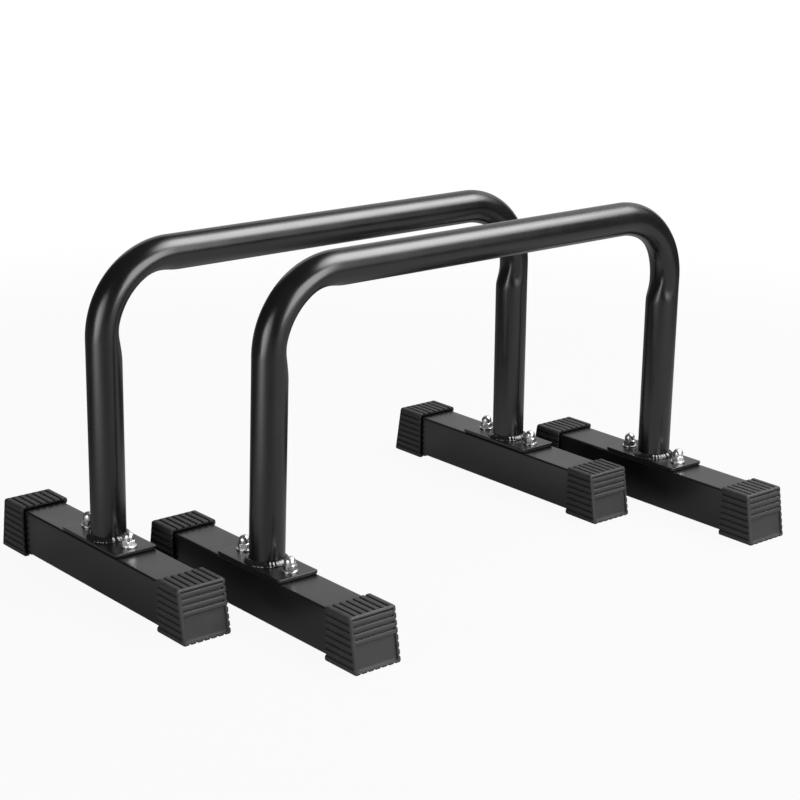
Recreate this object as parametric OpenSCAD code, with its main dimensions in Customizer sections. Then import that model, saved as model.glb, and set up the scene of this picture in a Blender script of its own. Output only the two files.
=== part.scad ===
// A pair of low dip bars.
// Each bar is one bent round tube with a base plate welded to each leg.
// The plates are bolted to square foot tubes that end in ribbed rubber boots.
// The bars run along X and their feet along Y. The floor is at Z = 0.

/* [Bent tube] */
// Outer diameter of the round tube
tube_od = 38.1; // [30:0.1:45]
// Wall of the round tube
tube_wall = 2; // [1.5:0.5:3.5]
// Height of the grip's centre line above the floor
grip_height = 356; // [300:1:600]
// Distance between the two legs at their base plates
leg_spacing = 580; // [450:1:800]
// Outward lean of each leg in degrees
leg_lean = 1.4; // [0:0.1:4]
// Radius of the two bends, to the tube's centre line
bend_radius = 85; // [70:1:110]
// How far the inner wall is pressed in at the middle of a bend
crush_middle = 8; // [3:0.5:9]
// How far the inner wall is pressed in near the ends of a bend
crush_end = 4; // [0:0.5:5]
// Length over which the pressing sets in, from the grip
crush_start_run = 50; // [30:1:60]
// Length over which it fades out on the leg
crush_end_run = 20; // [15:1:25]
// How far the pressing goes on past the bend, down the leg
crush_over = 18; // [10:1:24]
// Depth of the hollow that runs along the middle of the pressed wall
crush_dip = 0.5; // [0:0.1:1.5]

/* [Base plate] */
// Length of the base plate along the foot
plate_length = 110; // [104:1:150]
// Thickness of the base plate
plate_thickness = 4.4; // [3:0.1:8]
// Leg length of the weld around the tube
weld_size = 5; // [3:0.5:6]

/* [Foot tube] */
// Width and height of the square foot tube
foot_width = 50; // [46:1:60]
// Wall of the foot tube
foot_wall = 2; // [1.5:0.5:3]
// Outer corner radius of the foot tube
foot_corner = 2.5; // [2:0.5:6]
// Length of foot tube that shows between its two boots
foot_bare_length = 272; // [200:1:400]

/* [Rubber boot] */
// Rubber on each side of the foot tube, below the ribs
boot_wall = 2.6; // [2:0.1:4]
// Height of the ribs
rib_height = 1.8; // [1.2:0.1:2.5]
// Gap between two ribs
rib_gap = 2; // [1:0.1:3]
// Ribs across the top, and as many across the sole
ribs_across = 7; // [3:2:9]
// Ribs up each side
ribs_up = 8; // [4:1:10]
// Length of the boot at its top
boot_top_length = 39; // [36:1:60]
// How much longer the boot is at its sole
boot_slant = 10; // [0:1:14]
// How far the foot tube goes into the boot
boot_socket = 30; // [20:1:30]
// How far the ribs end before the end face
end_band = 1.2; // [0.5:0.1:6]
// Radius of the boot's long corners
boot_corner = 2.5; // [1.5:0.5:4.5]
// Bars on the end face
end_bars = 4; // [2:1:5]
// Height of each bar on the end face
end_bar_height = 4.5; // [3:0.1:5]
// Space above each bar on the end face
end_bar_gap = 2; // [1:0.1:3]
// Depth of the sunken panel and of the gaps on the end face
panel_depth = 2; // [1:0.1:3]
// Border that is left beside the sunken panel and the gaps
panel_border = 4.2; // [4:0.1:8]
// Border that is left below the sunken panel
panel_foot = 3.2; // [3:0.1:6]

/* [Fasteners] */
// Diameter of the bolts
bolt_diameter = 8; // [6:1:8]
// Distance of each bolt from the middle of the leg
bolt_offset = 40; // [38:0.5:42]
// Diameter of the round bolt head under the foot
bolt_head_diameter = 20; // [16:1:22]
// Height of the bolt head
bolt_head_height = 3.2; // [2:0.1:3.4]
// Outer diameter of the washers
washer_diameter = 17; // [16:0.5:18]
// Thickness of the washers
washer_thickness = 1.6; // [1:0.1:2.5]
// Width of the cap nuts across their flats
nut_width = 13; // [12:0.5:14]
// Height of the nut's hexagon
nut_hex_height = 6.5; // [5:0.5:8]
// Diameter of the nut's dome
nut_dome_diameter = 12.4; // [11.5:0.1:12.4]
// Full height of the cap nuts
nut_height = 15; // [14:0.5:18]

/* [Pair] */
// Distance between the two grips
bar_gap = 162; // [120:1:600]
// How far the front bar stands to the right of the rear one
bar_shift = 91; // [70:1:140]

/* [Hidden] */
$fn = 48;
tube_sides = 28;
arc_steps = 16;
over_steps = 4;
bulge_share = 0.2;
bolt_clearance = 0.5;
neck_clearance = 0.2;
thread_clearance = 0.1;
socket_clearance = 0.1;
neck_length = 4;
thread_in_nut = 9;
nut_bore_end = 11;
plate_corner = 1.5;
least_corner = 0.5;
beyond = 1;

tube_radius = tube_od / 2;
seat = boot_wall + rib_height;
boot_height = foot_width + 2 * seat;
foot_top = seat + foot_width;
plate_top = foot_top + plate_thickness;
washer_top = plate_top + washer_thickness;
plate_width = foot_width;
slant_angle = atan(boot_slant / boot_height);
foot_length = foot_bare_length + 2 * boot_socket;

bend_angle = 90 - leg_lean;
bend_tangent = bend_radius * tan(bend_angle / 2);
bend_length = bend_radius * bend_angle * PI / 180;
pressed_length = bend_length + crush_over;
corner_x = leg_spacing / 2 - (grip_height - plate_top) * tan(leg_lean);
bend_start_x = corner_x - bend_tangent;

bars = ["front", "rear"];
sides = ["left", "right"];
foot_pieces = [
    "leg_weld", "base_plate", "foot_tube", "front_boot", "back_boot",
    "carriage_bolts", "washers", "cap_nuts"
];

// The bent tube is one skin outside and one inside, each a row of rings.
// A station of the tube's path is [x, z, angle of the outward normal, crush].

function smooth_step(t) = let (k = max(0, min(1, t))) k * k * (3 - 2 * k);

// How far the inner wall is pressed in, at a distance along the path from the grip
function crush_at(run) =
    smooth_step(run / crush_start_run) * smooth_step((pressed_length - run) / crush_end_run)
    * (crush_end + (crush_middle - crush_end) * sin(180 * run / pressed_length));

// A station in the bend, or on the leg just below it
function bend_station(run) =
    let (angle = bend_angle * min(run, bend_length) / bend_length, past = max(0, run - bend_length))
    [
        bend_start_x + bend_radius * sin(angle) + past * cos(bend_angle),
        grip_height - bend_radius * (1 - cos(angle)) - past * sin(bend_angle),
        angle,
        crush_at(run)
    ];

// Distances of the rings from the grip. The bore has every second one.
function ring_runs(every) = concat(
    [for (i = [0 : every : arc_steps]) bend_length * i / arc_steps],
    [for (i = [every : every : over_steps]) bend_length + crush_over * i / over_steps]
);

// From the middle of the grip down the right leg, and the whole path from left to right
function half_path(runs) = concat(
    [for (run = runs) bend_station(run)],
    [[leg_spacing / 2, plate_top, 90, 0]]
);

function whole_path(runs) =
    let (half = half_path(runs), last = len(half) - 1)
    concat(
        [for (i = [last : -1 : 0]) [-half[i][0], half[i][1], -half[i][2], half[i][3]]],
        half
    );

// One ring: round outside the bend, flattened with a shallow hollow inside it.
// The rings that stand on the plates are stretched by the lean, so they lie flat.
function ring(station, radius) =
    let (
        pressed = station[3] / crush_middle,
        stretch = abs(station[2]) == 90 ? 1 / cos(leg_lean) : 1
    )
    [
        for (i = [0 : tube_sides - 1])
            let (
                turn = 360 * i / tube_sides,
                inner = max(0, -cos(turn)),
                hollow = max(0, 1 - pow(sin(turn) / 0.6, 2)),
                depth = cos(turn) >= 0
                    ? radius * cos(turn) * stretch
                    : -(radius - station[3]) * pow(inner, 1 - 0.1 * pressed) * stretch
                        + crush_dip * pressed * hollow,
                width = (radius + bulge_share * station[3]) * sin(turn)
            )
            [
                station[0] + depth * sin(station[2]),
                width,
                station[1] + depth * cos(station[2])
            ]
    ];

function rings(path, radius) = [for (station = path) each ring(station, radius)];

// Two triangles between corners j and j + 1 of two rings that start at a and b
function band(a, b) = [
    for (j = [0 : tube_sides - 1])
        let (k = (j + 1) % tube_sides)
        each [[a + j, a + k, b + k], [a + j, b + k, b + j]]
];

function skin_bands(first, count) = [
    for (i = [0 : count - 2]) each band(first + i * tube_sides, first + (i + 1) * tube_sides)
];

function flipped(faces) = [for (face = faces) [face[0], face[2], face[1]]];

module bent_tube() {
    outer_path = whole_path(ring_runs(1));
    bore_path = whole_path(ring_runs(2));
    bore_first = len(outer_path) * tube_sides;
    outer_last = bore_first - tube_sides;
    bore_last = bore_first + (len(bore_path) - 1) * tube_sides;
    color("#232325") polyhedron(
        points = concat(rings(outer_path, tube_radius), rings(bore_path, tube_radius - tube_wall)),
        faces = concat(
            skin_bands(0, len(outer_path)),
            flipped(skin_bands(bore_first, len(bore_path))),
            flipped(band(0, bore_first)),
            band(outer_last, bore_last)
        ),
        convexity = 6
    );
}

// The remaining pieces are drawn with the middle of the leg's foot at X = Y = 0.

module rounded_square(width, height, corner) {
    square([width - 2 * corner, height], center = true);
    square([width, height - 2 * corner], center = true);
    for (x = [-1, 1], y = [-1, 1])
        translate([x * (width / 2 - corner), y * (height / 2 - corner)]) circle(corner);
}

// Places its children at both bolts
module at_bolts() {
    for (y = [-bolt_offset, bolt_offset]) translate([0, y, 0]) children();
}

// A fillet of weld around the foot of the leaning leg, with a gently rounded face
module leg_weld(lean) {
    color("#1b1b1d") intersection() {
        translate([0, 0, plate_top]) rotate([0, lean, 0]) rotate_extrude() {
            polygon([
                [tube_radius, -beyond],
                [tube_radius + weld_size, -beyond],
                [tube_radius + weld_size, 0.2 * weld_size],
                [tube_radius + 0.75 * weld_size, 0.55 * weld_size],
                [tube_radius + 0.55 * weld_size, 0.75 * weld_size],
                [tube_radius + 0.2 * weld_size, weld_size],
                [tube_radius, weld_size]
            ]);
        }
        translate([-plate_width, -plate_width, plate_top])
            cube([2 * plate_width, 2 * plate_width, 3 * weld_size]);
    }
}

module base_plate() {
    color("#2a2a2c") translate([0, 0, foot_top]) difference() {
        linear_extrude(plate_thickness) rounded_square(plate_width, plate_length, plate_corner);
        at_bolts() translate([0, 0, -beyond])
            cylinder(d = bolt_diameter + 2 * bolt_clearance, h = plate_thickness + 2 * beyond);
    }
}

module foot_tube() {
    neck_hole = bolt_diameter + 2 * neck_clearance;
    foot_bore = foot_width - 2 * foot_wall;
    color("#2a2a2c") difference() {
        translate([0, 0, seat + foot_width / 2]) rotate([90, 0, 0])
            linear_extrude(foot_length, center = true) difference() {
                rounded_square(foot_width, foot_width, foot_corner);
                rounded_square(foot_bore, foot_bore, max(least_corner, foot_corner - foot_wall));
            }
        at_bolts() {
            translate([0, 0, foot_top - foot_wall - beyond])
                cylinder(d = bolt_diameter + 2 * bolt_clearance, h = foot_wall + 2 * beyond);
            translate([-neck_hole / 2, -neck_hole / 2, seat - beyond])
                cube([neck_hole, neck_hole, foot_wall + 2 * beyond]);
        }
    }
}

// The boot is drawn with its rim at Y = 0 and its end face toward -Y.

// Everything behind a plane that slants like the end face, held back from it by a distance
module behind_end(back) {
    translate([0, back - boot_top_length - boot_slant, 0]) rotate([-slant_angle, 0, 0])
        translate([-boot_height, 0, -boot_height])
            cube([2 * boot_height, 3 * boot_height, 3 * boot_height]);
}

// Outline of the ribbed part: a rounded square with a groove between each pair of ribs
module ribbed_outline() {
    groove_depth = rib_height - 0.1;
    across_pitch = boot_height / ribs_across;
    up_pitch = boot_height / ribs_up;
    difference() {
        rounded_square(boot_height, boot_height, boot_corner);
        for (i = [1 : ribs_across - 1], s = [-1, 1])
            translate([i * across_pitch - boot_height / 2, s * boot_height / 2])
                square([rib_gap, 2 * groove_depth], center = true);
        for (i = [1 : ribs_up - 1], s = [-1, 1])
            translate([s * boot_height / 2, i * up_pitch - boot_height / 2])
                square([2 * groove_depth, rib_gap], center = true);
    }
}

// Gaps between the bars, and the sunken panel below them, on the end face
module end_recesses() {
    step = end_bar_height + end_bar_gap;
    face_height = boot_height / cos(slant_angle);
    width = boot_height - 2 * panel_border;
    panel_top = rib_height + end_bar_gap / 2 + end_bars * step;
    panel_height = face_height - panel_top - panel_foot;
    translate([0, -boot_top_length, boot_height]) rotate([-slant_angle, 0, 0]) {
        for (i = [0 : end_bars - 1])
            translate([-width / 2, -beyond, -rib_height - 1.5 * end_bar_gap - i * step])
                cube([width, panel_depth + beyond, end_bar_gap]);
        translate([-width / 2, -beyond, -panel_top - panel_height])
            cube([width, panel_depth + beyond, panel_height]);
    }
}

module boot() {
    long = boot_top_length + boot_slant + beyond;
    base = foot_width + 2 * boot_wall;
    socket = foot_width + 2 * socket_clearance;
    centre = boot_height / 2;
    color("#38383a") difference() {
        union() {
            intersection() {
                translate([0, 0, centre]) rotate([90, 0, 0])
                    linear_extrude(long) rounded_square(base, base, boot_corner - rib_height / 2);
                behind_end(0);
            }
            intersection() {
                translate([0, 0, centre]) rotate([90, 0, 0]) linear_extrude(long) ribbed_outline();
                behind_end(end_band);
            }
        }
        translate([0, beyond, centre]) rotate([90, 0, 0])
            linear_extrude(boot_socket + socket_clearance + beyond)
                rounded_square(socket, socket, foot_corner);
        end_recesses();
    }
}

module front_boot() {
    translate([0, -foot_bare_length / 2, 0]) boot();
}

module back_boot() {
    mirror([0, 1, 0]) front_boot();
}

// Round head under the foot, square neck in its lower wall, shank up into the nut
module carriage_bolts() {
    shank_length = washer_top + thread_in_nut - seat;
    color("#b9bcc0") at_bolts() translate([0, 0, seat]) {
        translate([0, 0, -bolt_head_height])
            cylinder(d1 = bolt_head_diameter * 0.7, d2 = bolt_head_diameter, h = bolt_head_height);
        translate([-bolt_diameter / 2, -bolt_diameter / 2, 0])
            cube([bolt_diameter, bolt_diameter, neck_length]);
        cylinder(d = bolt_diameter, h = shank_length);
    }
}

module washers() {
    color("#b9bcc0") at_bolts() translate([0, 0, plate_top]) difference() {
        cylinder(d = washer_diameter, h = washer_thickness);
        translate([0, 0, -beyond])
            cylinder(d = bolt_diameter + 2 * bolt_clearance, h = washer_thickness + 2 * beyond);
    }
}

// Hexagon with a bevelled top edge, and a dome that closes the thread
module cap_nuts() {
    corner_radius = nut_width / 2 / cos(30);
    dome_radius = nut_dome_diameter / 2;
    color("#c4c7cb") at_bolts() translate([0, 0, washer_top]) difference() {
        union() {
            intersection() {
                cylinder(r = corner_radius, h = nut_hex_height, $fn = 6);
                cylinder(r1 = corner_radius + nut_hex_height - 1, r2 = dome_radius, h = nut_hex_height);
            }
            cylinder(r = dome_radius, h = nut_height - dome_radius);
            translate([0, 0, nut_height - dome_radius]) sphere(dome_radius);
        }
        translate([0, 0, -beyond])
            cylinder(d = bolt_diameter + 2 * thread_clearance, h = nut_bore_end + beyond);
    }
}

// Place of a bar, and of one of its feet
module on_bar(bar) {
    way = bar == "front" ? 1 : -1;
    translate([way * bar_shift / 2, -way * bar_gap / 2, 0]) children();
}

module on_foot(bar, side) {
    way = side == "left" ? -1 : 1;
    on_bar(bar) translate([way * leg_spacing / 2, 0, 0]) children();
}

function lean_of(side) = side == "left" ? leg_lean : -leg_lean;

for (bar = bars) {
    on_bar(bar) bent_tube();
    for (side = sides) {
        on_foot(bar, side) leg_weld(lean_of(side));
        on_foot(bar, side) base_plate();
        on_foot(bar, side) foot_tube();
        on_foot(bar, side) front_boot();
        on_foot(bar, side) back_boot();
        on_foot(bar, side) carriage_bolts();
        on_foot(bar, side) washers();
        on_foot(bar, side) cap_nuts();
    }
}
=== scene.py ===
# The looks of a pair of low dip bars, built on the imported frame.
# Sizes in the dictionaries are millimetres, and meshes are written in metres.
import math

import bpy
import numpy as np
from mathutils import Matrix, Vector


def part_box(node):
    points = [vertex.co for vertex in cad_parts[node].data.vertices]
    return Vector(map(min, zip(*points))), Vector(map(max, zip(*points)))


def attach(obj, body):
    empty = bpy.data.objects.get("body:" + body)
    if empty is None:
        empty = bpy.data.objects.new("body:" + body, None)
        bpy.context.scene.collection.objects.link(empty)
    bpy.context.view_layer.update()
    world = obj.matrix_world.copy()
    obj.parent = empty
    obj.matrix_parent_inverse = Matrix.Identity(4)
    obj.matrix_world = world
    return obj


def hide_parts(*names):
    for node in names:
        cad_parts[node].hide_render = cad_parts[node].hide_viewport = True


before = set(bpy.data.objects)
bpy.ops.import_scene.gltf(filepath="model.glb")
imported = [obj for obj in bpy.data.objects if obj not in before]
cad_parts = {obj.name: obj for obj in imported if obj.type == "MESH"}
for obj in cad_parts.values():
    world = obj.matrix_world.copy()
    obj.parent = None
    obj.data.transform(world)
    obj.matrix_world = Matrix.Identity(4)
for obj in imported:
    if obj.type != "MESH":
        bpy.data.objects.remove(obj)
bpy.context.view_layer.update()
barNames = ("front", "rear")
sideNames = ("left", "right")
print("stage: frame loaded")


# Camera and lamps

cameraView = {
    "place": (-1.36191, -1.63081, 0.80116),
    "turn": (70.5102, -0.6491, -39.6858),
    "lens": 88.545,
    "shiftUp": 0.125,
}

# Each soft box by its shape, its bearing and height in degrees as seen from the object, its distance, width
# and height in metres, and its brightness, where white is 1. Bearing 0 is the front, 90 the right. The boxes
# that share a place add up to one with soft edges.
lampPlan = {
    "keyCore": ("ELLIPSE", 60, 54, 2.6, 1.6, 1.25, 4.3),
    "keyBody": ("ELLIPSE", 61, 54, 2.6, 2.5, 2.1, 3.6),
    "keyHalo": ("ELLIPSE", 72, 52, 2.6, 3.6, 2.8, 0.6),
    "front": ("RECTANGLE", 8, 23, 2.4, 1.6, 1.4, 4.6),
    "frontHalo": ("ELLIPSE", 14, 19, 2.4, 2.6, 2.1, 0.6),
    "leftCore": ("ELLIPSE", -84, 12, 2.2, 0.85, 0.95, 2.2),
    "leftBody": ("ELLIPSE", -79, 12, 2.2, 1.4, 1.6, 1.9),
    "leftHalo": ("ELLIPSE", -60, 6, 2.2, 1.5, 1.1, 0.15),
    "backWall": ("RECTANGLE", 140, 19, 3.0, 4.0, 2.6, 0.6),
}
lampAim = 0.2  # height in metres of the point that every lamp faces


def addCamera(view):
    data = bpy.data.cameras.new("photoCamera")
    data.lens = view["lens"]
    data.sensor_width = 36
    data.shift_y = view["shiftUp"]
    camera = bpy.data.objects.new("photoCamera", data)
    camera.location = view["place"]
    camera.rotation_euler = [math.radians(turn) for turn in view["turn"]]
    bpy.context.scene.collection.objects.link(camera)
    bpy.context.scene.camera = camera


def addLamp(name, shape, bearing, rise, distance, width, height, brightness):
    data = bpy.data.lights.new(name, "AREA")
    data.shape = shape
    data.size = width
    data.size_y = height
    area = width * height * (math.pi / 4 if shape == "ELLIPSE" else 1)
    data.energy = brightness * math.pi * area
    lamp = bpy.data.objects.new(name, data)
    turn, lift = math.radians(bearing), math.radians(rise)
    away = np.array([math.sin(turn) * math.cos(lift), -math.cos(turn) * math.cos(lift), math.sin(lift)])
    lamp.location = away * distance + [0, 0, lampAim]
    lamp.rotation_euler = (math.pi / 2 - lift, 0, turn)
    lamp.visible_camera = False
    bpy.context.scene.collection.objects.link(lamp)


# Shader maths: a socket of a node tree. Arithmetic on it adds Math nodes, and make() adds any other node.

class Wire:
    def __init__(self, tree, socket=None):
        self.tree = tree
        self.socket = socket

    def make(self, kind, settings=None, inputs=None, output=0):
        node = self.tree.nodes.new(kind)
        for key, value in (settings or {}).items():
            setattr(node, key, value)
        for key, value in (inputs or {}).items():
            if isinstance(value, Wire):
                self.tree.links.new(value.socket, node.inputs[key])
            else:
                node.inputs[key].default_value = value
        return Wire(self.tree, node.outputs[output] if len(node.outputs) else None)

    def maths(self, operation, *values):
        return self.make("ShaderNodeMath", {"operation": operation}, dict(enumerate(values)))

    def __add__(self, other):
        return self.maths("ADD", self, other)

    def __sub__(self, other):
        return self.maths("SUBTRACT", self, other)

    def __rsub__(self, other):
        return self.maths("SUBTRACT", other, self)

    def __mul__(self, other):
        return self.maths("MULTIPLY", self, other)

    __radd__ = __add__
    __rmul__ = __mul__


def noise(tree, place, scale, detail=2.0, roughness=0.5):
    inputs = {"Vector": place, "Scale": scale, "Detail": detail, "Roughness": roughness}
    return tree.make("ShaderNodeTexNoise", {}, inputs)


# A value from low to high as the wire goes from start to stop
def ramp(tree, value, start, stop, low=0.0, high=1.0):
    inputs = {"Value": value, "From Min": start, "From Max": stop, "To Min": low, "To Max": high}
    return tree.make("ShaderNodeMapRange", {"interpolation_type": "SMOOTHSTEP"}, inputs)


# A grey from dark to light, with a trace of blue
def shade(tree, amount, dark, light):
    inputs = {0: amount, 6: (dark, dark, dark * 1.02, 1), 7: (light, light, light * 1.02, 1)}
    return tree.make("ShaderNodeMix", {"data_type": "RGBA"}, inputs, 2)


def bump(tree, height, strength, distance):
    return tree.make("ShaderNodeBump", {}, {"Height": height, "Strength": strength, "Distance": distance})


def newMaterial(name):
    material = bpy.data.materials.new(name)
    material.use_nodes = True
    material.node_tree.nodes.clear()
    tree = Wire(material.node_tree)
    place = tree.make("ShaderNodeTexCoord", {}, {}, "Object")
    return material, tree, place


def finishSurface(tree, inputs):
    surface = tree.make("ShaderNodeBsdfPrincipled", {}, inputs)
    tree.make("ShaderNodeOutputMaterial", {}, {"Surface": surface})


# Satin black powder coat: a fine orange peel, slightly uneven in gloss, with a few specks of dust

coatLook = {
    "dark": 0.0055, "light": 0.0075, "roughness": 0.21, "specular": 0.78, "peelSize": 0.9, "peelDepth": 0.015,
}
footLook = {
    "dark": 0.0022, "light": 0.003, "roughness": 0.3, "specular": 0.95, "peelSize": 0.8, "peelDepth": 0.015,
}
weldLook = {
    "dark": 0.0075, "light": 0.0095, "roughness": 0.15, "specular": 0.95, "peelSize": 1.6, "peelDepth": 0.02,
}
cloudScale, dustScale, fineScale = 24, 700, 3600  # how close the patches, specks and grains lie, per metre


def powderCoat(name, look):
    material, tree, place = newMaterial(name)
    peel = noise(tree, place, 1000 / look["peelSize"], 1.5)
    cloud = noise(tree, place, cloudScale, 3)
    fine = noise(tree, place, fineScale, 2)
    speck = ramp(tree, noise(tree, place, dustScale, 0), 0.79, 0.83)
    gloss = ramp(tree, cloud, 0.3, 0.7, look["roughness"] - 0.02, look["roughness"] + 0.03)
    finishSurface(tree, {
        "Base Color": shade(tree, ramp(tree, cloud, 0.35, 0.65) + speck * 0.5, look["dark"], look["light"]),
        "Roughness": gloss + fine * 0.02,
        "Specular IOR Level": look["specular"],
        "Normal": bump(tree, peel * 0.8 + fine * 0.2, 0.5, look["peelDepth"] * 0.001),
    })
    return material


# Matte moulded rubber: a fine grain, a soft bloom in patches, and faint marks from the mould

rubberLook = {
    "dark": 0.025, "light": 0.033, "roughness": 0.57, "specular": 0.66,
    "grainSize": 0.5, "grainDepth": 0.035, "bloomScale": 55, "flowScale": 260,
}


def bootRubber(name, look):
    material, tree, place = newMaterial(name)
    grain = noise(tree, place, 1000 / look["grainSize"], 3, 0.6)
    bloom = noise(tree, place, look["bloomScale"], 4, 0.6)
    flow = noise(tree, place, look["flowScale"], 2)
    patch = ramp(tree, bloom, 0.4, 0.68)
    gloss = ramp(tree, bloom, 0.3, 0.7, look["roughness"] - 0.05, look["roughness"] + 0.06)
    finishSurface(tree, {
        "Base Color": shade(tree, patch * 0.7 + grain * 0.3, look["dark"], look["light"]),
        "Roughness": gloss + grain * 0.04,
        "Specular IOR Level": look["specular"],
        "Normal": bump(tree, grain * 0.7 + flow * 0.3, 0.6, look["grainDepth"] * 0.001),
    })
    return material


# Bright zinc plate: faint turning marks and a slightly clouded gloss

zincLook = {
    "dark": 0.72, "light": 0.88, "roughness": 0.3,
    "markSize": 0.35, "markStretch": 6, "markDepth": 0.006, "cloudScale": 320,
}


def zincPlate(name, look):
    material, tree, place = newMaterial(name)
    stretch = look["markStretch"]
    stretched = tree.make("ShaderNodeMapping", {}, {"Vector": place, "Scale": (1, 1, stretch)})
    marks = noise(tree, stretched, 1000 / look["markSize"] / stretch, 2)
    cloud = noise(tree, place, look["cloudScale"], 3)
    finishSurface(tree, {
        "Base Color": shade(tree, ramp(tree, cloud, 0.3, 0.7), look["dark"], look["light"]),
        "Metallic": 1.0,
        "Roughness": ramp(tree, cloud, 0.3, 0.7, look["roughness"] - 0.05, look["roughness"] + 0.08),
        "Normal": bump(tree, marks, 0.5, look["markDepth"] * 0.001),
    })
    return material


# Meshes. A shell is a grid of points, rows by columns, whose columns close round.
# Its rows close too when loop is true. A pole is one point that closes an open end.

def shell(points, loop=False, startPole=None, endPole=None):
    rows, columns = points.shape[:2]
    ids = np.arange(rows * columns).reshape(rows, columns)
    low, high = (ids, np.roll(ids, -1, axis=0)) if loop else (ids[:-1], ids[1:])
    faces = [np.stack([low, np.roll(low, -1, 1), np.roll(high, -1, 1), high], -1).reshape(-1, 4)]
    corners = points.reshape(-1, 3)
    for pole, rim, way in ((startPole, ids[0], -1), (endPole, ids[-1], 1)):
        if pole is not None:
            tip = np.full(columns, len(corners))
            fan = np.stack([rim, np.roll(rim, -1), tip], -1)
            faces.append(fan[:, ::way])
            corners = np.vstack([corners, pole])
    return corners, faces


# Six times the enclosed volume: the sum over triangles of corner a times (b cross c)
def signedVolume(corners, faces):
    total = 0.0
    for block in faces:
        for k in range(1, block.shape[1] - 1):
            a, b, c = (corners[block[:, i]] for i in (0, k, k + 1))
            total += np.einsum("ij,ij->", a, np.cross(b, c))
    return total


# One object from several shells, each turned so that its faces point outwards
def makePiece(name, shells, material, body, nodes, sharpAngle=40):
    allCorners, allFaces, count = [], [], 0
    for corners, faces in shells:
        centred = corners - corners.mean(0)
        way = 1 if signedVolume(centred, faces) > 0 else -1
        for block in faces:
            allFaces += (block[:, ::way] + count).tolist()
        allCorners.append(corners)
        count += len(corners)
    mesh = bpy.data.meshes.new(name)
    mesh.from_pydata((np.vstack(allCorners) * 0.001).tolist(), [], allFaces)
    mesh.shade_smooth()
    mesh.set_sharp_from_angle(angle=math.radians(sharpAngle))
    mesh.materials.append(material)
    piece = bpy.data.objects.new(name, mesh)
    bpy.context.scene.collection.objects.link(piece)
    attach(piece, body)
    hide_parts(*nodes)
    return piece


def smoothStep(values):
    k = np.clip(values, 0, 1)
    return k * k * (3 - 2 * k)


def stack(*columns):
    return np.stack(np.broadcast_arrays(*columns), -1)


# Where a node stands, in millimetres: its middle, and its lowest and highest corner
def nodeBox(node):
    low, high = (np.array(corner) * 1000 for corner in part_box(node))
    return (low + high) / 2, low, high


# Bent tube

# The press and the squeeze of each bend have a depth, a start and an end along the run, and the lengths of
# their rise and fade. near multiplies the depth on the side that faces the front, where the fade is nearFade.
tubeLook = {
    "diameter": 38.1, "wall": 2.0, "around": 144,
    "gripRings": 10, "bendRings": 110, "legRings": 12, "closeBefore": 12, "closeAfter": 28,
    "bendRadius": {"left": 83.0, "right": 77.0},
    "lean": {"front": {"left": 1.8, "right": 0.1}, "rear": {"left": 0.8, "right": 0.5}},
    "press": {
        "left": {
            "depth": 6.6, "near": 1.0, "start": -10.0, "rise": 55.0,
            "end": 153.0, "fade": 46.0, "nearFade": 46.0,
        },
        "right": {
            "depth": 9.2, "near": 0.35, "start": 10.0, "rise": 88.0,
            "end": 151.0, "fade": 26.0, "nearFade": 34.0,
        },
    },
    "squareness": {"left": 0.12, "right": 0.0},
    "hollow": {"left": 0.06, "right": 0.0}, "hollowReach": 0.6,
    "sideBulge": 0.06,
    "squeeze": {
        "left": {
            "depth": 0.0, "near": 1.0, "start": 95.0, "rise": 30.0,
            "end": 149.0, "fade": 17.0, "nearFade": 17.0,
        },
        "right": {
            "depth": 0.4, "near": 4.5, "start": 98.0, "rise": 30.0,
            "end": 149.0, "fade": 17.0, "nearFade": 17.0,
        },
    },
    "squeezeAt": 118.0, "squeezeReach": 38.0,
}


# Distances along half the bar, from the middle of the grip to the foot of the leg, close together in the
# bend. Run 0 is where the bend starts.
def halfRuns(look, gripHalf, bendLength, legLength):
    closeStart, closeEnd = -look["closeBefore"], bendLength + look["closeAfter"]
    return np.concatenate([
        np.linspace(-gripHalf, closeStart - 2, look["gripRings"]),
        np.linspace(closeStart, closeEnd, look["bendRings"]),
        np.linspace(closeEnd + 6, bendLength + legLength, look["legRings"]),
    ])


# How deep a plan presses at each run = depth x a smooth rise after its start x a smooth fade before its end
def pressAt(plan, runs, sinT):
    near = (1 - sinT) / 2
    fade = plan["fade"] + (plan["nearFade"] - plan["fade"]) * near
    depth = plan["depth"] * (1 + (plan["near"] - 1) * near)
    runs = runs[:, None]
    rise = smoothStep((runs - plan["start"]) / plan["rise"])
    return depth * rise * smoothStep((plan["end"] - runs) / fade)


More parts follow.
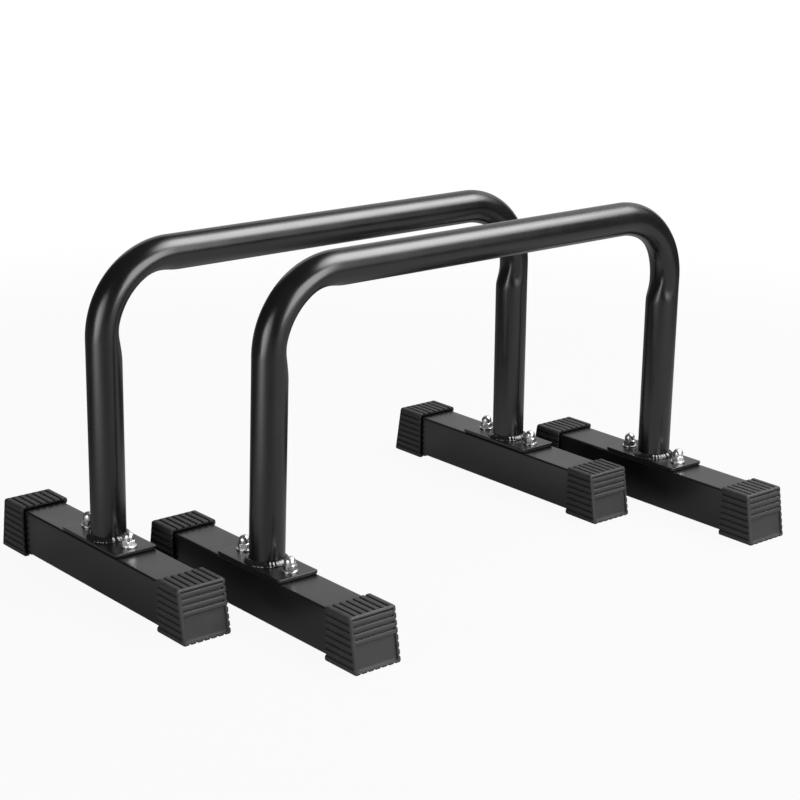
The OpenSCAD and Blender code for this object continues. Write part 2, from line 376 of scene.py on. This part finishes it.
# Half of the tube's skin: a circle carried along grip, bend and leg. Its inner half is pressed in by
# the press, which squares its shoulders a little and hollows its middle.
# The squeeze narrows the radius round squeezeAt degrees from the outermost line.
def tubeSkin(look, inset, bar, side, halfSpacing, gripHeight, foot, coarse):
    lean = math.radians(look["lean"][bar][side])
    turn = math.pi / 2 - lean
    bendRadius = look["bendRadius"][side]
    bendLength = bendRadius * turn
    startX = halfSpacing - (gripHeight - foot) * math.tan(lean) - bendRadius * math.tan(turn / 2)
    legLength = (gripHeight - bendRadius * (1 - math.cos(turn)) - foot) / math.cos(lean)
    runs = halfRuns(look, startX, bendLength, legLength)
    if coarse:
        runs = np.append(runs[:-1:4], runs[-1])
    angle = np.clip(runs / bendRadius, 0, turn)[:, None]
    before = np.minimum(runs, 0)[:, None]
    after = np.maximum(runs - bendLength, 0)[:, None]
    alongX = startX + before + bendRadius * np.sin(angle) + after * math.sin(lean)
    alongZ = gripHeight - bendRadius * (1 - np.cos(angle)) - after * math.cos(lean)
    radius = look["diameter"] / 2 - inset
    t = np.linspace(0, 2 * math.pi, look["around"], endpoint=False)[None, :]
    cosT, sinT = np.cos(t), np.sin(t)
    press = pressAt(look["press"][side], runs, sinT)
    inner = np.clip(-cosT, 1e-9, 1)
    hollow = np.maximum(0, 1 - (sinT / look["hollowReach"]) ** 2) ** 1.5
    square = 1 - look["squareness"][side] * press / look["press"][side]["depth"]
    depth = np.where(cosT >= 0, radius * cosT, -(radius - press) * inner ** square)
    depth = depth + look["hollow"][side] * press * hollow * (cosT < 0)
    width = (radius + look["sideBulge"] * press) * sinT
    away = np.abs(np.degrees(np.arccos(cosT)) - look["squeezeAt"]) / look["squeezeReach"]
    narrower = 1 - pressAt(look["squeeze"][side], runs, sinT) * smoothStep(1 - away) / radius
    depth = depth * narrower
    width = width * narrower
    points = stack(alongX + depth * np.sin(angle), width, alongZ + depth * np.cos(angle))
    drop = (points[-1, :, 2] - foot) / math.cos(lean)  # the last ring goes on until it lies flat on the plate
    points[-1] += drop[:, None] * np.array([math.sin(lean), 0, -math.cos(lean)])
    return points


# Both halves of the skin, from the left foot to the right one, round the middle of the bar
def wholeSkin(look, inset, bar, middle, *place):
    left, right = (tubeSkin(look, inset, bar, side, *place) for side in sideNames)
    return np.concatenate([left[:0:-1] * [-1, 1, 1], right]) + [middle[0], middle[1], 0]


def bentTube(look, bar, material):
    node = f"{bar}_bent_tube"
    middle, low, high = nodeBox(node)
    leftFoot, rightFoot = (nodeBox(f"{bar}_{side}_foot_tube")[0] for side in sideNames)
    place = ((rightFoot[0] - leftFoot[0]) / 2, high[2] - look["diameter"] / 2, low[2])
    outer = wholeSkin(look, 0, bar, middle, *place, False)
    bore = wholeSkin(look, look["wall"], bar, middle, *place, True)
    grid = np.concatenate([outer, bore[::-1]])
    return makePiece(f"{bar}BentTube", [shell(grid, loop=True)], material, f"{bar}_bar", [node])


# Weld bead around the foot of each leg

weldSizes = {
    "size": 4.7, "centre": 0.4, "flatness": 1.5, "ripples": 30, "rippleDepth": 0.42, "rippleShape": 0.7,
    "bow": 1.5, "bowTurn": 0.8, "wander": 2.2, "lumpDepth": 0.3, "perRipple": 9, "across": 30,
}


# A sum of slow waves of chance height and start, with each of these counts of waves round the leg
def chanceWaves(chance, u, counts, highest):
    return sum(chance.uniform(0.2, highest) * np.sin(k * u + chance.uniform(0, 6.3)) for k in counts)


# A flattened bead whose radius = size + ripples, bowed across the bead, + slow lumps. It gives the distance
# from the leg's axis and the height over the plate, round the leg by u and round the bead by q.
def weldBead(look, legRadius, seed):
    chance = np.random.default_rng(seed)
    u = np.linspace(0, 2 * math.pi, look["ripples"] * look["perRipple"], endpoint=False)[None, :]
    q = np.linspace(0, 2 * math.pi, look["across"], endpoint=False)[:, None]
    wander = chanceWaves(chance, u, (2, 3, 5, 7), 0.6) * look["wander"]
    phase = look["ripples"] * u + wander + look["bow"] * np.cos(q - look["bowTurn"])
    crest = (0.5 + 0.5 * np.sin(phase)) ** look["rippleShape"]
    lumps = chanceWaves(chance, u, (4, 9, 13, 17), 0.5)
    ripple = look["rippleDepth"] * (crest - 0.6)  # less about its average, so that the bead keeps its size
    bead = look["size"] + ripple + look["lumpDepth"] * lumps
    out = look["centre"] + bead * np.sign(np.cos(q)) * np.abs(np.cos(q)) ** look["flatness"]
    up = look["centre"] + bead * np.sign(np.sin(q)) * np.abs(np.sin(q)) ** look["flatness"]
    return legRadius + out, np.maximum(up, 0), u


# The bead follows the leg's lean as it rises from the plate
def legWeld(look, tube, bar, side, material):
    node = f"{bar}_{side}_leg_weld"
    low = nodeBox(node)[1]
    foot = nodeBox(f"{bar}_{side}_foot_tube")[0]
    outward = -1 if side == "left" else 1
    seed = barNames.index(bar) * 2 + sideNames.index(side) + 5
    radius, up, u = weldBead(look, tube["diameter"] / 2, seed)
    lean = -outward * up * math.tan(math.radians(tube["lean"][bar][side]))
    grid = stack(foot[0] + radius * np.cos(u) + lean, foot[1] + radius * np.sin(u), low[2] + up)
    name = f"{bar}{side.capitalize()}Weld"
    return makePiece(name, [shell(grid, loop=True)], material, f"{bar}_bar", [node], 180)


# Outlines of rounded rectangles. The same columns serve every size, so loops of different size and corner
# radius join without a twist.

# Samples of a ribbed side, as shares of its half: a spread round each groove, and both ends
def sideSamples(grooves, half, radius, spread):
    straight = half - radius
    samples = np.concatenate([centre + spread for centre in grooves] + [[-straight, straight]])
    return np.unique(np.round(samples[np.abs(samples) <= straight], 4)) / straight


# Columns round the outline, as (side number, share along the side, share round the corner)
def outlineColumns(alongTop, alongSide, cornerSteps):
    columns = []
    for number in range(4):
        shares = alongTop if number % 2 == 0 else alongSide
        columns += [(number, share, 0.0) for share in shares]
        columns += [(number, 1.0, step / cornerSteps) for step in range(1, cornerSteps)]
    return np.array(columns).T


# Point and outward direction of every column, for a rectangle of these half sizes. Side 0 is the top, read
# from left to right, and the other sides follow clockwise.
# Each point = along its side, out to the side's height + the corner's quarter circle, turned by the side.
def outline(columns, halfU, halfV, radius):
    number, share, corner = columns
    quarter = number * math.pi / 2
    angle = quarter + corner * math.pi / 2
    flat = np.where(number % 2 == 0, halfU, halfV) - radius
    far = np.where(number % 2 == 0, halfV, halfU) - radius
    alongU = share * flat + radius * np.sin(corner * math.pi / 2)
    alongV = far + radius * np.cos(corner * math.pi / 2)
    u = alongU * np.cos(quarter) + alongV * np.sin(quarter)
    v = alongV * np.cos(quarter) - alongU * np.sin(quarter)
    return u, v, np.sin(angle), np.cos(angle)


plainSide = np.linspace(-1, 1, 9)
plainColumns = outlineColumns(plainSide, plainSide, 10)


# Base plate, with its sheared edges rounded by the coat

plateLook = {"corner": 2.2, "topEdge": 0.45, "bottomEdge": 2.2, "faceRings": (9, 4)}


# Rounded rectangles stacked from the bottom face to the top face, each drawn in by the edge's quarter circle
def basePlate(look, bar, side, material):
    node = f"{bar}_{side}_base_plate"
    middle, low, high = nodeBox(node)
    half = (high - low) / 2
    thickness = high[2] - low[2]
    topEdge, bottomEdge, faceRings = look["topEdge"], look["bottomEdge"], look["faceRings"]
    turn = np.linspace(0, math.pi / 2, 7)
    insets = np.concatenate([
        faceRings,
        bottomEdge * (1 - np.sin(turn[::2])),
        topEdge * (1 - np.cos(turn)),
        faceRings[::-1],
    ])
    levels = np.concatenate([
        [0, 0],
        bottomEdge * (1 - np.cos(turn[::2])),
        thickness - topEdge * (1 - np.sin(turn)),
        [thickness, thickness],
    ])
    loops = []
    for inset, level in zip(insets, levels):
        corner = max(look["corner"] - inset, 0.2)
        u, v = outline(plainColumns, half[0] - inset, half[1] - inset, corner)[:2]
        loops.append(stack(u, v, level))
    grid = np.array(loops) + [middle[0], middle[1], low[2]]
    poles = [[middle[0], middle[1], low[2]], [middle[0], middle[1], high[2]]]
    name = f"{bar}{side.capitalize()}Plate"
    return makePiece(name, [shell(grid, False, *poles)], material, f"{bar}_bar", [node], 50)


# Foot tube: a rounded square carried along Y and back through its own bore

footTubeLook = {"wall": 2.0, "corner": 2.3, "boreCorner": 0.5, "rings": 25}


def footTube(look, bar, side, material):
    node = f"{bar}_{side}_foot_tube"
    middle, low, high = nodeBox(node)
    half = (high - low) / 2
    bore = half - look["wall"]
    stations = [(half, look["corner"], y) for y in np.linspace(-half[1], half[1], look["rings"])]
    stations += [(bore, look["boreCorner"], y) for y in (half[1], 0, -half[1])]
    loops = []
    for size, corner, y in stations:
        u, v = outline(plainColumns, size[0], size[2], corner)[:2]
        loops.append(stack(u, y, v))
    grid = np.array(loops) + middle
    name = f"{bar}{side.capitalize()}FootTube"
    return makePiece(name, [shell(grid, loop=True)], material, f"{bar}_bar", [node], 50)


# Rubber boot. It is worked out with its rim at Y = 0 and its end toward -Y, then placed or mirrored.

bootLook = {
    "acrossRibs": 7, "upRibs": 8, "ribHeight": 2.2, "crown": 0.2,
    "grooveWidth": 2.5, "grooveEdge": 0.4, "grooveRound": 0.1, "grooveStop": 2.2, "grooveSlope": 0.7,
    "topLength": 39.0, "slant": 10.0, "corner": 0.5, "cornerSteps": 9, "endRound": 2.2, "rimRound": 0.5,
    "socket": 30.1, "socketGap": 0.1, "socketCorner": 2.5,
    "mouth": 1.8, "mouthDepth": 3.0, "mouthBevel": 0.15, "mouthBevelDepth": 0.2,
    "bars": 4, "barHeight": 4.6, "barGap": 1.9, "barRound": 1.0, "barReach": 0.6, "barSink": 0.5,
    "firstGap": 2.85, "panelDepth": 2.4, "panelBorder": 4.2, "panelFoot": 3.2,
    "pocketRound": 0.4, "pocketCorner": 0.8,
}
grooveSamples = np.array([0, 0.4, 0.6, 0.76, 0.9, 1.0, 1.1, 1.24, 1.4, 1.7, 2.5])  # in half groove widths
pocketSteps = ((0.7, 0.0), (0.9, 0.05), (1.0, 0.25), (1.0, 3.0))  # share of the depth, and how far in


# Height of the ribs over the base: 1 on a rib, 0 in a groove, with rounded edges and a slightly crowned top
def ribProfile(look, along, grooves, pitch):
    gap = np.min(np.abs(along[:, None] - grooves[None, :]), axis=1)
    edge = (gap - look["grooveWidth"] / 2 + look["grooveEdge"]) / (2 * look["grooveEdge"])
    crown = np.clip(1 - (1 - 2 * gap / pitch) ** 2, 0, 1)
    return smoothStep(edge) * (look["ribHeight"] - look["crown"] * (1 - crown))


# The slanted end plane: how far it lies behind the rim at the height v
def endPlane(look, height, v):
    return look["topLength"] + look["slant"] * (0.5 - v / height)


# The pocket in the end face, with the bars and the sunken panel in it: half its width, its top and its bottom
def pocketSize(look, height):
    return height / 2 - look["panelBorder"], height / 2 - look["firstGap"], look["panelFoot"] - height / 2


# Loops from the socket's floor over the rim, along the ribs, round the end and down into the pocket. A ribbed
# loop = a rounded square, pushed outwards by the height of its ribs.
def bootSkin(look, height, tubeHalf):
    ribHeight, grooveRound = look["ribHeight"], look["grooveRound"]
    base = height / 2 - ribHeight
    acrossPitch, upPitch = height / look["acrossRibs"], height / look["upRibs"]
    acrossGrooves = acrossPitch * np.arange(1, look["acrossRibs"]) - height / 2
    upGrooves = upPitch * np.arange(1, look["upRibs"]) - height / 2
    spread = np.unique(np.concatenate([-grooveSamples, grooveSamples])) * look["grooveWidth"] / 2
    samples = [sideSamples(grooves, base, look["corner"], spread) for grooves in (acrossGrooves, upGrooves)]
    columns = outlineColumns(*samples, look["cornerSteps"])
    u, v, outU, outV = outline(columns, base, base, look["corner"])
    number = columns[0]
    along = np.where(number % 2 == 0, u, v)
    onTop = ribProfile(look, along, acrossGrooves, acrossPitch)
    onSide = ribProfile(look, along, upGrooves, upPitch)
    onCorner = ribHeight - look["crown"]
    rib = np.where(columns[2] > 0, onCorner, np.where(number % 2 == 0, onTop, onSide))
    rows = []

    # a row of the ribbed skin, between the rim at share 0 and the end plane at share 1
    def addSkin(outwards, share, offset):
        p, q = u + outU * outwards, v + outV * outwards
        rows.append(stack(p, -(endPlane(look, height, q) * share + offset), q))

    # a plain rounded square at one depth behind the rim
    def addSquare(half, corner, back):
        p, q = outline(columns, half, half, corner)[:2]
        rows.append(stack(p, -back, q))

    socketHalf = tubeHalf + look["socketGap"]
    mouthHalf = socketHalf + look["mouth"]
    addSquare(socketHalf, look["socketCorner"], look["socket"])
    addSquare(socketHalf, look["socketCorner"], look["mouthDepth"])
    addSquare(mouthHalf - look["mouthBevel"], look["socketCorner"], look["mouthBevelDepth"])
    addSquare(mouthHalf, look["socketCorner"], 0)
    rimRound = grooveRound + (look["rimRound"] - grooveRound) * rib / ribHeight
    # the grooves of the top and of the left side stop a little before the end
    closed = np.where((number == 0) | (number == 3), np.maximum(rib, onCorner), rib)
    endRound = grooveRound + (look["endRound"] - grooveRound) * closed / ribHeight
    for turn in np.linspace(0, math.pi / 2, 5):
        addSkin(rib - rimRound * (1 - math.sin(turn)), 0, rimRound * (1 - math.cos(turn)))
    for share in (0.25, 0.5, 0.75):
        addSkin(rib, share, 0)
    addSkin(rib, 1, -look["grooveStop"] - look["grooveSlope"])
    addSkin(closed, 1, -look["grooveStop"])
    for turn in np.linspace(0, math.pi / 2, 8):
        addSkin(closed - endRound * (1 - math.cos(turn)), 1, -endRound * (1 - math.sin(turn)))

    pocketWidth, pocketTop, pocketBottom = pocketSize(look, height)
    pocketHalf, shiftV = (pocketTop - pocketBottom) / 2, (pocketTop + pocketBottom) / 2

    # a loop of the pocket, grown beyond its walls and sunk below the end plane
    def addPocket(grow, corner, sunk):
        p, q = outline(columns, pocketWidth + grow, pocketHalf + grow, corner)[:2]
        rows.append(stack(p, sunk - endPlane(look, height, q + shiftV), q + shiftV))

    for turn in np.linspace(0, math.pi / 2, 5):
        grow = look["pocketRound"] * (1 - math.sin(turn))
        addPocket(grow, look["pocketCorner"] + grow, look["pocketRound"] * (1 - math.cos(turn)))
    for share, inset in pocketSteps:
        addPocket(-inset, look["pocketCorner"], look["panelDepth"] * share)
    poles = [[0, -look["socket"], 0], [0, look["panelDepth"] - endPlane(look, height, shiftV), shiftV]]
    return shell(np.array(rows), False, *poles)


# Bars across the pocket, each a rounded rectangle carried from wall to wall, flush with the end face
def bootBars(look, height):
    pocketWidth, pocketTop, _ = pocketSize(look, height)
    halfBar, barRound = look["barHeight"] / 2, look["barRound"]
    straight, deep = halfBar - barRound, look["panelDepth"] + look["barSink"]
    reach = pocketWidth + look["barReach"]
    turn = np.linspace(0, math.pi / 2, 6)
    up = np.concatenate([
        [-halfBar], -straight - barRound * np.cos(turn), straight + barRound * np.sin(turn), [halfBar],
    ])
    below = np.concatenate([[deep], barRound * (1 - np.sin(turn)), barRound * (1 - np.cos(turn)), [deep]])
    x = np.linspace(-reach, reach, 5)[:, None]
    bars = []
    for i in range(look["bars"]):
        centre = pocketTop - look["barGap"] - halfBar - i * (look["barHeight"] + look["barGap"])
        crossBar = stack(x, below - endPlane(look, height, centre + up), centre + up)
        ends = [[tipX, deep / 2 - endPlane(look, height, centre), centre] for tipX in (-reach, reach)]
        bars.append(shell(crossBar, False, *ends))
    return bars


def rubberBoot(look, bar, side, end, material):
    node = f"{bar}_{side}_{end}_boot"
    middle, low, high = nodeBox(node)
    height = high[2] - low[2]
    tubeLow, tubeHigh = nodeBox(f"{bar}_{side}_foot_tube")[1:]
    shells = [bootSkin(look, height, (tubeHigh[0] - tubeLow[0]) / 2)] + bootBars(look, height)
    way, rimY = (1, high[1]) if end == "front" else (-1, low[1])
    placed = [(corners * [1, way, 1] + [middle[0], rimY, middle[2]], faces) for corners, faces in shells]
    name = f"{bar}{side.capitalize()}{end.capitalize()}Boot"
    return makePiece(name, placed, material, f"{bar}_bar", [node], 60)


# Fasteners: every piece is a profile turned round an upright axis at each of the two bolts

# A profile of (radius, height) rows turned round the centre. With hexWidth, a hexagon of that width cuts it.
def turned(profile, centre, level, steps, hexWidth=None, turn=0.0):
    u = np.linspace(0, 2 * math.pi, steps, endpoint=False)[None, :]
    rows = np.array(profile, float)
    radius = rows[:, :1]
    if hexWidth:
        wedge = np.mod(u, math.pi / 3) - math.pi / 6
        radius = np.minimum(radius, hexWidth / 2 / np.cos(wedge))
    x = centre[0] + radius * np.cos(u + turn)
    y = centre[1] + radius * np.sin(u + turn)
    return stack(x, y, level + rows[:, 1:])


def arc(centreR, centreZ, radius, start, stop, steps):
    turn = np.radians(np.linspace(start, stop, steps))
    return np.stack([centreR + radius * np.cos(turn), centreZ + radius * np.sin(turn)], -1)


washerLook = {"radius": 8.5, "hole": 4.5, "height": 1.6, "edge": 0.3, "holeEdge": 0.2, "around": 64}


def boltPlaces(bar, side):
    middle, low, high = nodeBox(f"{bar}_{side}_washers")
    offset = (high[1] - low[1]) / 2 - washerLook["radius"]
    return [np.array([middle[0], middle[1] + way * offset]) for way in (-1, 1)]


def washers(look, bar, side, material):
    node = f"{bar}_{side}_washers"
    low = nodeBox(node)[1]
    edge, top, hole, holeEdge = look["edge"], look["height"], look["hole"], look["holeEdge"]
    rim = look["radius"] - edge
    profile = np.vstack([
        [(hole, 0), (rim, 0)],
        arc(rim, edge, edge, -60, 0, 3),
        arc(rim, top - edge, edge, 0, 90, 5),
        [(hole + holeEdge, top), (hole, top - holeEdge)],
    ])
    places = boltPlaces(bar, side)
    shells = [shell(turned(profile, centre, low[2], look["around"]), loop=True) for centre in places]
    name = f"{bar}{side.capitalize()}Washers"
    return makePiece(name, shells, material, f"{bar}_bar", [node], 40)


# Carriage bolt: a shallow domed head under the foot and a plain shank with a bevelled tip
boltLook = {
    "headHeight": 3.2, "headRadius": 10.0, "headEdge": 0.25, "headBevel": 0.2, "domeShape": 0.8,
    "shank": 4.0, "tipBevel": 0.8, "around": 48,
}


def carriageBolts(look, bar, side, material):
    node = f"{bar}_{side}_carriage_bolts"
    low, high = nodeBox(node)[1:]
    seat = low[2] + look["headHeight"]
    length = high[2] - seat
    headRadius, shank, tipBevel = look["headRadius"], look["shank"], look["tipBevel"]
    angle = np.linspace(0.12, 1.45, 12)
    domeDrop = look["headHeight"] * np.cos(angle) ** look["domeShape"]
    profile = np.vstack([
        np.stack([headRadius * np.sin(angle), -domeDrop], -1),
        [(headRadius, -look["headEdge"]), (headRadius - look["headBevel"], 0), (shank, 0)],
        [(shank, length - tipBevel), (shank - tipBevel, length)],
    ])
    shells = []
    for centre in boltPlaces(bar, side):
        grid = turned(profile, centre, seat, look["around"])
        shells.append(shell(grid, False, [*centre, low[2]], [*centre, high[2]]))
    name = f"{bar}{side.capitalize()}Bolts"
    return makePiece(name, shells, material, f"{bar}_bar", [node], 35)


# Cap nut: a hexagon with bevelled corners, a short neck and a half ball. The bevels' points give how far they
# lie inside the corner and how far from the hexagon's face.
nutLook = {
    "width": 13.0, "hexHeight": 6.5, "domeRadius": 6.2, "height": 15.0, "around": 96,
    "bore": 4.1, "boreEnd": 11.0, "boreBevel": 0.4, "neckEdge": 0.1,
    "lowerBevel": ((1.0, 0.0), (0.35, 0.25), (0.0, 0.6)),
    "upperBevel": ((0.0, 0.9), (0.5, 0.6), (1.0, 0.25)),
    "turn": 0.35, "turnSteps": {"bolt": 0.9, "bar": 0.6, "side": 0.4},
}


def capNuts(look, bar, side, material):
    node = f"{bar}_{side}_cap_nuts"
    low, high = nodeBox(node)[1:]
    corner = look["width"] / 2 / math.cos(math.pi / 6)
    bore, boreBevel, neckEdge = look["bore"], look["boreBevel"], look["neckEdge"]
    dome, hexTop, ballZ = look["domeRadius"], look["hexHeight"], look["height"] - look["domeRadius"]
    profile = np.vstack([
        [(bore, look["boreEnd"]), (bore, boreBevel), (bore + boreBevel, 0)],
        [(corner - inside, up) for inside, up in look["lowerBevel"]],
        [(corner - inside, hexTop - down) for inside, down in look["upperBevel"]],
        [(dome + neckEdge, hexTop), (dome, hexTop + neckEdge), (dome, ballZ)],
        arc(0, ballZ, dome, 8, 84, 12),
    ])
    steps = look["turnSteps"]
    firstTurn = look["turn"] + steps["bar"] * barNames.index(bar) + steps["side"] * sideNames.index(side)
    shells = []
    for index, centre in enumerate(boltPlaces(bar, side)):
        turn = firstTurn + steps["bolt"] * index
        grid = turned(profile, centre, low[2], look["around"], look["width"], turn)
        shells.append(shell(grid, False, [*centre, low[2] + look["boreEnd"]], [*centre, high[2]]))
    name = f"{bar}{side.capitalize()}CapNuts"
    return makePiece(name, shells, material, f"{bar}_bar", [node], 28)


# Floor and room

# The floor shows as white to the camera and keeps a faint shadow. In the coat's gloss it shows a painted
# reflection: a painted lit patch under the object that fades to the dark room beyond it, painted shade beside
# each foot, and painted light in front of it and at its left.
# Each ramp is where it starts and stops, in metres, and its value there.
floorLook = {
    "size": 16, "color": 0.2, "strength": 1.04, "whitening": (0.9, 2.4, 0.9, 1.0),
    "paintedLitPatch": 0.48, "paintedLitPatchLeft": (-0.75, 0.05, 0.56, 1), "paintedLitPatchRight": (0.6, 1.7, 1, 0.12),
    "paintedLitPatchBack": (0.08, 0.55, 1, 0.35),
    "shadeShift": 0.015, "shadeHalfWidth": 0.04, "shadeHalfLength": 0.1, "shade": (0, 0.14, 0.46, 1),
    "front": (-3.0, -1.4, 0.1, 0), "frontLeft": (-0.6, 0.2, 0, 1),
    "pool": (-2.3, -0.35, 2.6, 0), "poolMiddle": -0.12, "poolSides": (0, 0.75, 1, 0),
}
roomLight = 0.052
white = (1, 1, 1, 1)


# Painted reflection that the coat's gloss shows of the floor = painted lit patch x painted shade beside
# each foot + painted light in front + painted light at left
def paintedFloorReflection(tree, place, look):
    alongX = tree.make("ShaderNodeSeparateXYZ", {}, {0: place}, "X")
    alongY = tree.make("ShaderNodeSeparateXYZ", {}, {0: place}, "Y")
    # painted lit patch under the object, fading to the left, to the right and towards the back
    paintedLitPatch = ramp(tree, alongX, *look["paintedLitPatchLeft"]) * ramp(tree, alongX, *look["paintedLitPatchRight"])
    paintedLitPatch = paintedLitPatch * ramp(tree, alongY, *look["paintedLitPatchBack"]) * look["paintedLitPatch"]
    # painted shade on the floor beside each foot, reaching a little further on its left side
    for bar in barNames:
        for side in sideNames:
            foot = nodeBox(f"{bar}_{side}_foot_tube")[0] / 1000
            fromFoot = tree.maths("ABSOLUTE", alongX - (foot[0] - look["shadeShift"]))
            beside = fromFoot - look["shadeHalfWidth"]
            beyond = tree.maths("ABSOLUTE", alongY - foot[1]) - look["shadeHalfLength"]
            paintedLitPatch = paintedLitPatch * ramp(tree, tree.maths("MAXIMUM", beside, beyond), *look["shade"])
    # painted light on the floor far in front of the object, cut off at its left, and a painted pool of light
    # at its left
    front = ramp(tree, alongY, *look["front"]) * ramp(tree, alongX, *look["frontLeft"])
    fromPool = tree.maths("ABSOLUTE", alongY - look["poolMiddle"])
    pool = ramp(tree, alongX, *look["pool"]) * ramp(tree, fromPool, *look["poolSides"])
    return paintedLitPatch + front + pool


def addFloor(look):
    half = look["size"] / 2
    mesh = bpy.data.meshes.new("paleFloor")
    corners = [(-half, -half, 0), (half, -half, 0), (half, half, 0), (-half, half, 0)]
    mesh.from_pydata(corners, [], [(0, 1, 2, 3)])
    floor = bpy.data.objects.new("paleFloor", mesh)
    bpy.context.scene.collection.objects.link(floor)
    material, tree, place = newMaterial("paleFloor")
    seen = tree.make("ShaderNodeLightPath", {}, {}, "Is Camera Ray")
    mirrored = tree.make("ShaderNodeLightPath", {}, {}, "Is Glossy Ray")
    distance = tree.make("ShaderNodeVectorMath", {"operation": "LENGTH"}, {0: place}, "Value")
    share = ramp(tree, distance, *look["whitening"])
    plain = tree.make("ShaderNodeBsdfDiffuse", {}, {"Color": (look["color"],) * 3 + (1,)})
    # the painted reflection that glossy rays see in place of white
    paintedReflection = paintedFloorReflection(tree, place, look)
    color = tree.make("ShaderNodeMix", {"data_type": "RGBA"}, {0: mirrored, 6: white, 7: paintedReflection}, 2)
    glow = tree.make("ShaderNodeEmission", {}, {"Color": color, "Strength": look["strength"]})
    surface = tree.make("ShaderNodeMixShader", {}, {0: seen * share + mirrored, 1: plain, 2: glow})
    tree.make("ShaderNodeOutputMaterial", {}, {"Surface": surface})
    mesh.materials.append(material)


# The room is an even grey light, and white behind the object for the camera
def lightRoom(brightness):
    world = bpy.data.worlds.new("paleRoom")
    world.use_nodes = True
    world.node_tree.nodes.clear()
    tree = Wire(world.node_tree)
    seen = tree.make("ShaderNodeLightPath", {}, {}, "Is Camera Ray")
    through = tree.make("ShaderNodeLightPath", {}, {}, "Is Transmission Ray")
    around = tree.make("ShaderNodeBackground", {}, {"Color": white, "Strength": brightness})
    bright = tree.make("ShaderNodeBackground", {}, {"Color": white, "Strength": 1.0})
    inputs = {0: tree.maths("MAXIMUM", seen, through), 1: around, 2: bright}
    surface = tree.make("ShaderNodeMixShader", {}, inputs)
    tree.make("ShaderNodeOutputWorld", {}, {"Surface": surface})
    bpy.context.scene.world = world


addCamera(cameraView)
for lampName, plan in lampPlan.items():
    addLamp(lampName, *plan)
print("stage: camera and lamps")

coat = powderCoat("satinBlackCoat", coatLook)
footCoat = powderCoat("footBlackCoat", footLook)
weldCoat = powderCoat("glossyWeldCoat", weldLook)
rubber = bootRubber("mouldedRubber", rubberLook)
zinc = zincPlate("brightZinc", zincLook)
print("stage: materials")

for bar in barNames:
    bentTube(tubeLook, bar, coat)
    for side in sideNames:
        legWeld(weldSizes, tubeLook, bar, side, weldCoat)
        basePlate(plateLook, bar, side, footCoat)
        footTube(footTubeLook, bar, side, footCoat)
        for end in ("front", "back"):
            rubberBoot(bootLook, bar, side, end, rubber)
        carriageBolts(boltLook, bar, side, zinc)
        washers(washerLook, bar, side, zinc)
        capNuts(nutLook, bar, side, zinc)
    print(f"stage: {bar} bar")

addFloor(floorLook)
lightRoom(roomLight)
bpy.context.scene.view_settings.view_transform = "Standard"
print("stage: floor and room")
